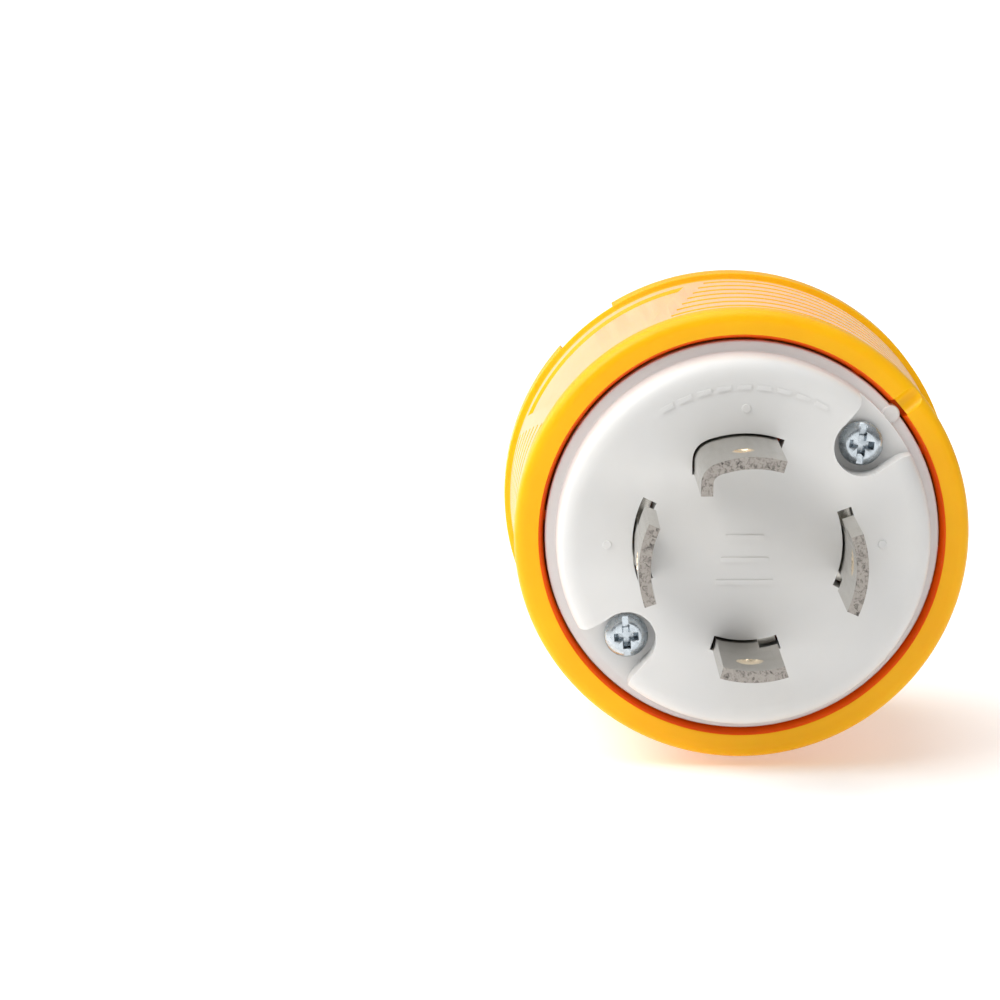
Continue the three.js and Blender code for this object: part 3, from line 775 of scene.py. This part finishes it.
def makeFace():
    f = face
    piece = lathe("frontFace", roundCorners([
        (0, 0), (f["radius"], 0, f["edgeRound"]), (f["radius"] + 0.05, f["ledgeFront"], 0.35),
        (f["ledge"], f["ledgeFront"], 0.4), (f["ledge"], f["rear"]), (f["cup"], f["rear"]),
        (f["cup"], f["thickness"], 0.6), (0, f["thickness"]),
    ], steps=6), steps=180)
    at, wellRadius = layout["faceScrewAt"], f["wellRadius"]
    for side in (0, 180):
        angle = clampAngle + side
        well = rod("well", wellRadius, (at, -1, 0), (at, f["wellFloor"], 0), sides=64)
        bend, half, end, wide = f["mouthBend"], f["mouthHalf"], f["mouthEnd"], f["mouthWide"]
        outline = roundCorners([
            (at, -wellRadius + 0.02), (bend, -half, f["mouthRound"]), (end, -wide), (end, wide),
            (bend, half, f["mouthRound"]), (at, wellRadius - 0.02),
        ], steps=8)
        mouth = extrudeOutline("mouth", outline, -1.01, f["wellFloor"] - 0.01)
        boss = rod("boss", f["bossRadius"], (at, f["bossFront"], 0), (at, f["rear"], 0), sides=48)
        trim = rod("trim", f["cup"] + 0.5, (0, 5, 0), (0, f["rear"] - 0.05, 0), sides=120)
        boolean(boss, trim, "INTERSECT")
        add(piece, turned(boss, angle))
        cut(piece, turned(add(well, mouth), angle))
    soften(piece, f["soft"], segments=5, limit=40)
    for side in (0, 180):
        way = rod("way", f["screwWay"], (at, 4, 0), (at, 12, 0), sides=32)
        cut(piece, turned(way, clampAngle + side))
    add(piece, rod("coreBoss", f["coreBoss"], (0, f["bossFront"], 0), (0, f["rear"], 0)))
    cut(piece, rod("coreBore", f["coreBore"], (0, f["coreBoreFloor"], 0), (0, 12, 0), sides=32))
    lugStart, lugEnd = (f["lugFront"], f["ledgeFront"] - 0.3, 0), (f["lugRear"], f["rear"], 0)
    lug = rod("lug", f["lugRadius"], lugStart, lugEnd, sides=32)
    add(piece, turned(soften(lug, f["lugRound"], segments=3), clampAngle))
    for b in bladePlan:
        slot = extrudeOutline("slot", bladeOutline(b, f["slotGap"], slot=True), -1, f["thickness"] + 1)
        cut(piece, turned(slot, b["angle"]))

    m, raised = marks, []
    depth = (m["sunk"], m["top"])
    for i in range(m["dashCount"]):
        dash = block("mark", (m["dashInner"], m["dashOuter"]), depth, (-m["dashHalf"], m["dashHalf"]))
        raised.append(turned(dash, m["dashFrom"] + i * m["dashStep"]))
    for z, wide in m["bars"]:
        raised.append(block("mark", (-wide / 2, wide / 2), depth, (z - m["barHalf"], z + m["barHalf"])))
    for b in bladePlan:
        a = math.radians(b["angle"])
        x, z = m["dotAt"] * math.cos(a), m["dotAt"] * math.sin(a)
        dot = rod("mark", m["dotRadius"], (x, m["top"], z), (x, m["sunk"], z), 24, m["dotTop"])
        raised.append(dot)
    add(piece, raised)
    soften(piece, f["edge"], segments=2, limit=50)
    return finish(piece, "core", "front_face", [whiteNylon], smooth=50)


makeFace()
print("face made")


# The four blades

def makeBlade(b):
    name = b["name"]
    piece = extrudeOutline("blade" + name.upper(), bladeOutline(b), blade["tip"], blade["foot"])
    y0, y1 = blade["notchFront"], blade["notchRear"]
    if b["notchFrom"]:
        outline = stripOutline(b["from"] - 1, b["from"] + b["notchFrom"], 1)
        cut(piece, extrudeOutline("notch", outline, y0, y1))
    if b["notchTo"]:
        outline = stripOutline(b["to"] - b["notchTo"], b["to"] + 1, 1)
        cut(piece, extrudeOutline("notch", outline, y0, y1))
    thick = (blade["terminalInner"], blade["terminalOuter"])
    along = (blade["terminalFront"], blade["terminalRear"])
    add(piece, block("terminal", thick, along, (-blade["terminalHalf"], blade["terminalHalf"])))
    y = layout["terminalAt"]
    cut(piece, rod("hole", blade["terminalHole"], (14, y, 0), (19, y, 0), sides=32))
    inner, outer = bladeFaces()
    aside = blade["dimpleOff"] if b["to"] is None else 0
    balls = []
    for surface, side in ((outer, 1), (inner, -1)):
        middle = (surface + side * blade["dimpleRise"], blade["dimpleAt"], aside)
        bpy.ops.object.select_all(action="DESELECT")
        bpy.ops.mesh.primitive_uv_sphere_add(segments=64, ring_count=32, radius=blade["dimpleBall"])
        ball = bpy.context.object
        ball.location = middle
        cut(piece, settle(ball))
        balls.append(Vector(middle))
    soften(piece, blade["edge"], segments=2, limit=38)
    turned(piece, b["angle"])
    looks = [nickelPlate, shearedMetal, nickelPaintedHighlight]
    finish(piece, "core", "blade_" + name, looks, smooth=40)
    turnBack = Matrix.Rotation(math.radians(b["angle"]), 3, "Y")
    for side in piece.data.polygons:
        spot = turnBack @ side.center * 1000
        # Dimple faces take the bright warm nickel, a painted highlight
        if min((spot - ball).length for ball in balls) < blade["dimpleBall"] + 0.02:
            side.material_index = 2
        elif side.center.y < (blade["tip"] + 0.3) / 1000 and side.normal.y < -0.75:
            side.material_index = 1
    return piece


for plan in bladePlan:
    makeBlade(plan)
print("blades made")


# Screws: a head profile, a shank with thread ridges, and a drive cut into the head

screwKinds = {
    "face": {"head": 3.5, "tall": 2.1, "shank": 1.95, "length": 37.1, "threadFrom": 22.0, "cross": True},
    "clamp": {"head": 2.6, "tall": 2.2, "shank": 1.7, "length": 39.3, "threadFrom": 15.0, "cross": True},
    "terminal": {"head": 3.6, "tall": 2.0, "shank": 1.9, "length": 11.1, "threadFrom": 1.0, "cross": False},
    "core": {"head": 2.7, "tall": 2.1, "shank": 1.6, "length": 27.3, "threadFrom": 12.0, "cross": True},
}
thread = {"pitch": 0.8, "depth": 0.24, "crest": 0.15, "flank": 0.5, "root": 0.65}
drive = {
    "slotHalf": 0.5, "slotDepth": 0.75, "crossDepth": 1.7, "armReach": 0.68, "armHalf": 0.22, "taper": 0.5,
}
screwSeats = {"face": 4.9, "clamp": 15.8, "terminal": 24.3, "core": 30.3}
faceScrewSpin = {1: math.radians(6), 2: math.radians(-4)}
nut = {"radius": 3.46, "bore": 2.0, "from": -16.6, "to": -13.8, "edge": 0.22}
insert = {
    "radius": 3.1, "toothDepth": 0.22, "toothCount": 26, "front": 30.8, "rear": 39.0, "bore": 2.2,
    "edge": 0.06,
}
plate = {
    "inner": 22.5, "outer": 24.0, "front": 15.5, "rear": 24.5, "half": 4.6, "bore": 2.2, "ridge": 0.35,
    "ridgePitch": 1.2, "ridgesEachSide": 3, "edge": 0.18,
}

def threadProfile(radius, start, end):
    made, y, pitch, root = [], start, thread["pitch"], radius - thread["depth"]
    while end - y > pitch:
        crestEnd, flankEnd, rootEnd = (y + pitch * thread[part] for part in ("crest", "flank", "root"))
        made += [(radius, y), (radius, crestEnd), (root, flankEnd), (root, rootEnd)]
        y += pitch
    return made


# A screw along Y whose head looks towards -Y, with its seat at zero
def makeScrew(name, kind):
    k, d = screwKinds[kind], drive
    head, top, shank, length = k["head"], -k["tall"], k["shank"], k["length"]
    profile = roundCorners([
        (0, top), (head * 0.75, top, 1.2), (head, top * 0.45, 0.8), (head, 0, 0.2), (shank, 0),
    ], steps=5)
    profile += [(shank, k["threadFrom"])] + threadProfile(shank, k["threadFrom"], length - 1)
    profile += [(shank * 0.85, length - 0.9), (shank * 0.45, length), (0, length)]
    piece = lathe(name, profile, steps=48)
    across = (-d["slotHalf"], d["slotHalf"])
    drives = [block("slot", across, (top - 1, top + d["slotDepth"]), (-head - 1, head + 1))]
    if k["cross"]:
        reach, thin = head * d["armReach"], head * d["armHalf"]
        for wide, tall in ((reach, thin), (thin, reach)):
            arm = block("arm", (-wide, wide), (top - 1, top + d["crossDepth"]), (-tall, tall))
            only(arm)
            bpy.ops.object.mode_set(mode="EDIT")
            bpy.ops.mesh.select_all(action="DESELECT")
            bpy.ops.object.mode_set(mode="OBJECT")
            for side in arm.data.polygons:
                side.select = side.normal.y > 0.9
            bpy.ops.object.mode_set(mode="EDIT")
            bpy.ops.transform.resize(value=(d["taper"], 1, d["taper"]), center_override=(0, 0, 0))
            bpy.ops.object.mode_set(mode="OBJECT")
            drives.append(arm)
    for tool in drives:
        cut(piece, tool)
    return soften(piece, 0.08, segments=2, limit=38)


# Aims a screw made along Y: its shank then points along the given direction from its seat
def aim(piece, seat, direction, spin=0.0):
    only(piece)
    piece.rotation_euler[1] = spin
    settle(piece)
    piece.rotation_euler = Vector((0, 1, 0)).rotation_difference(Vector(direction)).to_euler()
    piece.location = seat
    return settle(piece)


for number, side in ((1, 1), (2, -1)):
    label, at = "face_screw_%d" % number, side * layout["faceScrewAt"]
    screw = makeScrew("faceScrew%d" % number, "face")
    seat = (at * math.cos(clampTurn), screwSeats["face"], at * math.sin(clampTurn))
    aim(screw, seat, (0, 1, 0), faceScrewSpin[number])
    finish(screw, label, label, [zincPlate], smooth=38)

    label, x, y = "clamp_screw_%d" % number, side * layout["clampScrewAt"], layout["clampScrewLevel"]
    screw = makeScrew("clampScrew%d" % number, "clamp")
    aim(screw, (x, y, screwSeats["clamp"]), (0, 0, -1))
    finish(screw, label, label, [zincPlate], turn=clampTurn, smooth=38)

    piece = rod("clampNut%d" % number, nut["radius"], (x, y, nut["from"]), (x, y, nut["to"]), sides=6)
    cut(piece, rod("hole", nut["bore"], (x, y, -18), (x, y, -12), sides=32))
    soften(piece, nut["edge"], segments=2, limit=40)
    label = "clamp_nut_%d" % number
    finish(piece, "clamp_lower", label, [zincPlate], turn=clampTurn, smooth=38)

    n = insert
    piece = toothedRod(n["radius"], n["toothDepth"], n["toothCount"], n["front"], n["rear"])
    piece.name = "threadInsert%d" % number
    cut(piece, rod("hole", n["bore"], (0, 30, 0), (0, 40, 0), sides=32))
    piece.location.x = at
    settle(piece)
    soften(piece, n["edge"], segments=1)
    label = "thread_insert_%d" % number
    finish(piece, "housing", label, [plainBrass], turn=clampTurn, smooth=30)

terminalFinish = {"w": (zincPlate, "zinc_steel"), "g": (greenZinc, "green_steel")}
for plan in bladePlan:
    name, angle = plan["name"], plan["angle"]
    look, slotName = terminalFinish.get(name, (plainBrass, "plain_brass"))
    label, y = "terminal_screw_" + name, layout["terminalAt"]
    screw = makeScrew("terminalScrew" + name.upper(), "terminal")
    aim(screw, (screwSeats["terminal"], y, 0), (-1, 0, 0))
    turned(screw, angle)
    finish(screw, label, label, [look], smooth=38)

    label, p = "pressure_plate_" + name, plate
    thick, along = (p["inner"], p["outer"]), (p["front"], p["rear"])
    piece = block("pressurePlate" + name.upper(), thick, along, (-p["half"], p["half"]))
    ridges = []
    for k in range(-p["ridgesEachSide"], p["ridgesEachSide"] + 1):
        at = y + k * p["ridgePitch"]
        ridges.append(rod("ridge", p["ridge"], (p["inner"], at, -6), (p["inner"], at, 6), sides=4))
    cut(piece, ridges)
    cut(piece, rod("hole", p["bore"], (20, y, 0), (26, y, 0), sides=32))
    soften(piece, p["edge"], segments=2, limit=40)
    turned(piece, angle)
    finish(piece, label, label, [plainBrass], smooth=35)
print("screws made")


# The amber rear body and its screw

rearBody = {
    "radius": 29.2, "front": 10.9, "rear": 30.0, "tower": 5.0, "towerRear": 45.0, "towerBore": 3.9,
    "boreStep": 41.5, "screwBore": 3.1, "bore": 1.9, "channelInner": 14.8, "channelHalf": 5.6,
    "tipBore": 2.3, "tipInner": 8.0, "screwWay": 2.5, "edge": 0.25,
}


def makeRearBody():
    r = rearBody
    rear, tower, towerRear, step = r["rear"], r["tower"], r["towerRear"], r["boreStep"]
    piece = lathe("rearBody", roundCorners([
        (0, r["front"]), (r["radius"], r["front"], 0.5), (r["radius"], rear, 0.8), (tower + 0.6, rear, 0.8),
        (tower, rear + 3, 0.8), (tower, towerRear, 0.5), (r["towerBore"], towerRear, 0.3),
        (r["towerBore"], step, 0.3), (r["screwBore"], step - 0.5, 0.3), (r["screwBore"], rear, 0.3),
        (r["bore"], rear), (0, rear),
    ], steps=3), steps=144)
    tools = [rod("bore", r["bore"], (0, 8, 0), (0, 31, 0), sides=32)]
    for b in bladePlan:
        y, wide = layout["terminalAt"], (-r["channelHalf"], r["channelHalf"])
        channel = block("channel", (r["channelInner"], 34), (9, 32), wide)
        tip = rod("tip", r["tipBore"], (r["tipInner"], y, 0), (15.5, y, 0), sides=32)
        tools.append(turned(add(channel, tip), b["angle"]))
    for side in (0, 180):
        at = layout["faceScrewAt"]
        way = rod("way", r["screwWay"], (at, 9, 0), (at, 32, 0), sides=32)
        tools.append(turned(way, clampAngle + side))
    for tool in tools:
        cut(piece, tool)
    soften(piece, r["edge"], segments=2)
    return finish(piece, "core", "rear_body", [amberResin])


makeRearBody()
coreScrew = makeScrew("coreScrew", "core")
aim(coreScrew, (0, screwSeats["core"], 0), (0, -1, 0))
finish(coreScrew, "core", "core_screw", [blackOxide], smooth=38)
print("rear body made")


# Floor, light and camera

stage = {
    "floor": -0.0378, "size": 40.0, "pale": (0.94, 0.94, 0.94, 1), "rough": 0.6, "lift": 0.3, "world": 0.75,
    "ceiling": 1.7, "ceilingAngle": 70, "ceilingAim": (0.35, 0.0, -1.0),
}
view = {"place": (-0.0385, -0.568, 0.109), "down": 10.17, "turn": -0.01, "lens": 132.7, "sensor": 36.0}

# For each direction of the room: the low and high ends of its range, and how bright each end is
roomLight = {"Z": (-0.1, 0.8, 0.45, 1.0), "X": (1.0, -1.0, 0.7, 1.15), "Y": (-1.0, 0.2, 0.6, 0.85)}


def paleMaterial(name, colour, rough):
    material = bpy.data.materials.new(name)
    material.use_nodes = True
    shader = material.node_tree.nodes["Principled BSDF"]
    shader.inputs["Base Color"].default_value = colour
    shader.inputs["Roughness"].default_value = rough
    shader.inputs["Emission Color"].default_value = colour
    shader.inputs["Emission Strength"].default_value = stage["lift"]
    return material


bpy.ops.object.select_all(action="DESELECT")
bpy.ops.mesh.primitive_plane_add(size=stage["size"], location=(0, 0, stage["floor"]))
floor = bpy.context.object
floor.name = "floor"
floor.data.materials.append(paleMaterial("paleFloor", stage["pale"], stage["rough"]))


def softLight(name, power, size, location, target=(0, 0.02, 0), colour=(1, 1, 1)):
    bpy.ops.object.select_all(action="DESELECT")
    bpy.ops.object.light_add(type="AREA", location=location)
    lamp = bpy.context.object
    lamp.name = name
    lamp.data.energy = power
    lamp.data.size = size
    lamp.data.color = colour
    lamp.rotation_euler = (Vector(target) - Vector(location)).to_track_quat("-Z", "Y").to_euler()
    return lamp


softLight("keyLight", 5.0, 0.6, (-0.7, -0.35, 0.75), colour=(1.0, 0.98, 0.94))
softLight("rimLight", 2.0, 0.5, (-0.8, 0.5, 0.3), target=(0, 0.03, 0.02))

bpy.ops.object.select_all(action="DESELECT")
bpy.ops.object.light_add(type="SUN", location=(0, 0, 1))
sun = bpy.context.object
sun.name = "ceilingLight"
sun.data.energy = stage["ceiling"]
sun.data.angle = math.radians(stage["ceilingAngle"])
sun.rotation_euler = Vector(stage["ceilingAim"]).to_track_quat("-Z", "Y").to_euler()

# The room is bright overhead and to the left, and darker behind the camera
world = bpy.data.worlds.new("studio")
bpy.context.scene.world = world
world.use_nodes = True
room = world.node_tree
coords = place(room, "ShaderNodeTexCoord")
split = place(room, "ShaderNodeSeparateXYZ")
room.links.new(coords.outputs["Generated"], split.inputs["Vector"])
amount = None
for axis, (low, high, dim, bright) in roomLight.items():
    fade = place(room, "ShaderNodeMapRange")
    fade.inputs["From Min"].default_value = low
    fade.inputs["From Max"].default_value = high
    fade.inputs["To Min"].default_value = dim
    fade.inputs["To Max"].default_value = bright
    room.links.new(split.outputs[axis], fade.inputs["Value"])
    product = place(room, "ShaderNodeMath", operation="MULTIPLY")
    product.inputs[0].default_value = stage["world"]
    if amount:
        room.links.new(amount.outputs["Value"], product.inputs[0])
    room.links.new(fade.outputs["Result"], product.inputs[1])
    amount = product
room.links.new(amount.outputs["Value"], room.nodes["Background"].inputs["Strength"])
room.nodes["Background"].inputs["Color"].default_value = (1, 1, 1, 1)

bpy.context.scene.view_settings.view_transform = "Standard"
bpy.ops.object.select_all(action="DESELECT")
lean = (math.radians(90 - view["down"]), 0, math.radians(view["turn"]))
bpy.ops.object.camera_add(location=view["place"], rotation=lean)
camera = bpy.context.object
camera.data.lens = view["lens"]
camera.data.sensor_width = view["sensor"]
camera.data.clip_start = 0.01
bpy.context.scene.camera = camera
print("stage ready")
